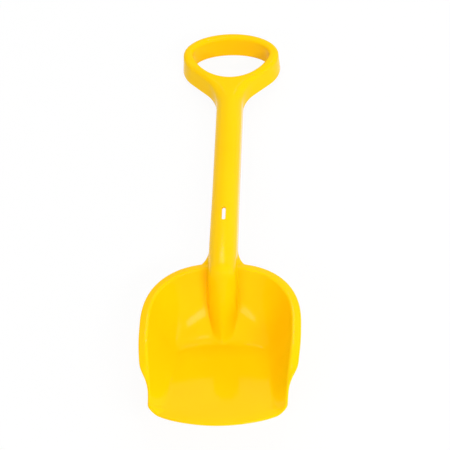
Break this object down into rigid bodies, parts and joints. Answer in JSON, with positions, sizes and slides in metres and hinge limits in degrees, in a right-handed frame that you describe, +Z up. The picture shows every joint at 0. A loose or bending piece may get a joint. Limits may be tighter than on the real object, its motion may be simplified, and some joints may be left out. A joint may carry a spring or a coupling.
{
  "type": "sand shovel",
  "caption": "Toy sand shovel moulded in glossy yellow plastic: a deep rounded scoop with a rolled rim, a hollow half-round shaft with a slot, and an oval ring grip.",
  "frame": {"origin": "centre of the outline on the ground, with the shovel lying as it rests by itself, on the heel of the scoop and the top of the grip", "axes": "+X to the right seen from the scoop's end, +Y along the shaft from the scoop to the grip, +Z up, out of the open side of the scoop"},
  "size_m": [0.148, 0.4806, 0.0639],
  "materials": {
    "plastic": "smooth moulded gloss, solid yellow"
  },
  "bodies": {
    "root": {"scoop_floor": "plastic", "front_lip": "plastic", "scoop_side_left": "plastic", "scoop_side_right": "plastic", "scoop_back_left": "plastic", "scoop_back_right": "plastic", "spine": "plastic", "rim_left": "plastic", "rim_right": "plastic", "neck_flare_left": "plastic", "neck_flare_right": "plastic", "shaft_crown": "plastic", "shaft_wall_left": "plastic", "shaft_wall_right": "plastic", "shaft_ribs": "plastic", "grip_face": "plastic", "grip_outer_wall": "plastic", "grip_inner_wall": "plastic"}
  },
  "joints": []
}
